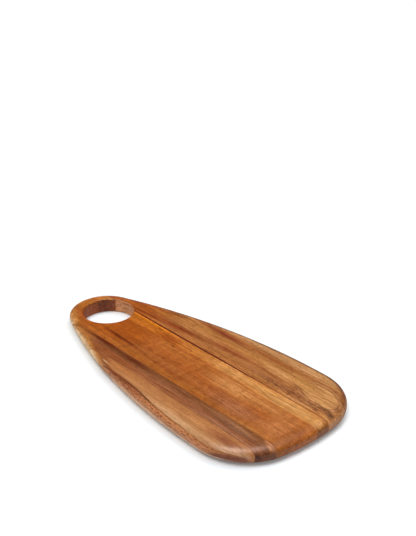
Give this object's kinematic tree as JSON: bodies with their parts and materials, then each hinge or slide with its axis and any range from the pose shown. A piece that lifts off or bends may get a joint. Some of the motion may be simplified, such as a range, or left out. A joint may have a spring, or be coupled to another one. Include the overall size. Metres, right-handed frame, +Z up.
{
  "type": "serving board",
  "caption": "Teardrop hardwood serving board of edge-glued staves, with a round hand hole through the narrow end and softly rounded edges, for carrying and serving food.",
  "frame": {"origin": "on the underside, at the middle of the board's length and width", "axes": "+X along the grain from the hand hole to the wide end, +Y across the staves towards the back stave, +Z up out of the serving face"},
  "size_m": [0.423, 0.2034, 0.019],
  "materials": {
    "back_wood": "oiled, satin",
    "gold_wood": "oiled, satin",
    "middle_wood": "oiled, satin",
    "dark_wood": "oiled, satin",
    "front_wood": "oiled, satin",
    "glue": "cured wood glue, matte"
  },
  "bodies": {
    "root": {"back_stave": "back_wood", "gold_stave": "gold_wood", "gold_stave_tip": "gold_wood", "middle_stave": "middle_wood", "dark_stave": "dark_wood", "front_stave": "front_wood", "glue_line_1": "glue", "glue_line_1_tip": "glue", "glue_line_2": "glue", "glue_line_2_tip": "glue", "glue_line_3": "glue", "glue_line_4": "glue"}
  },
  "joints": []
}
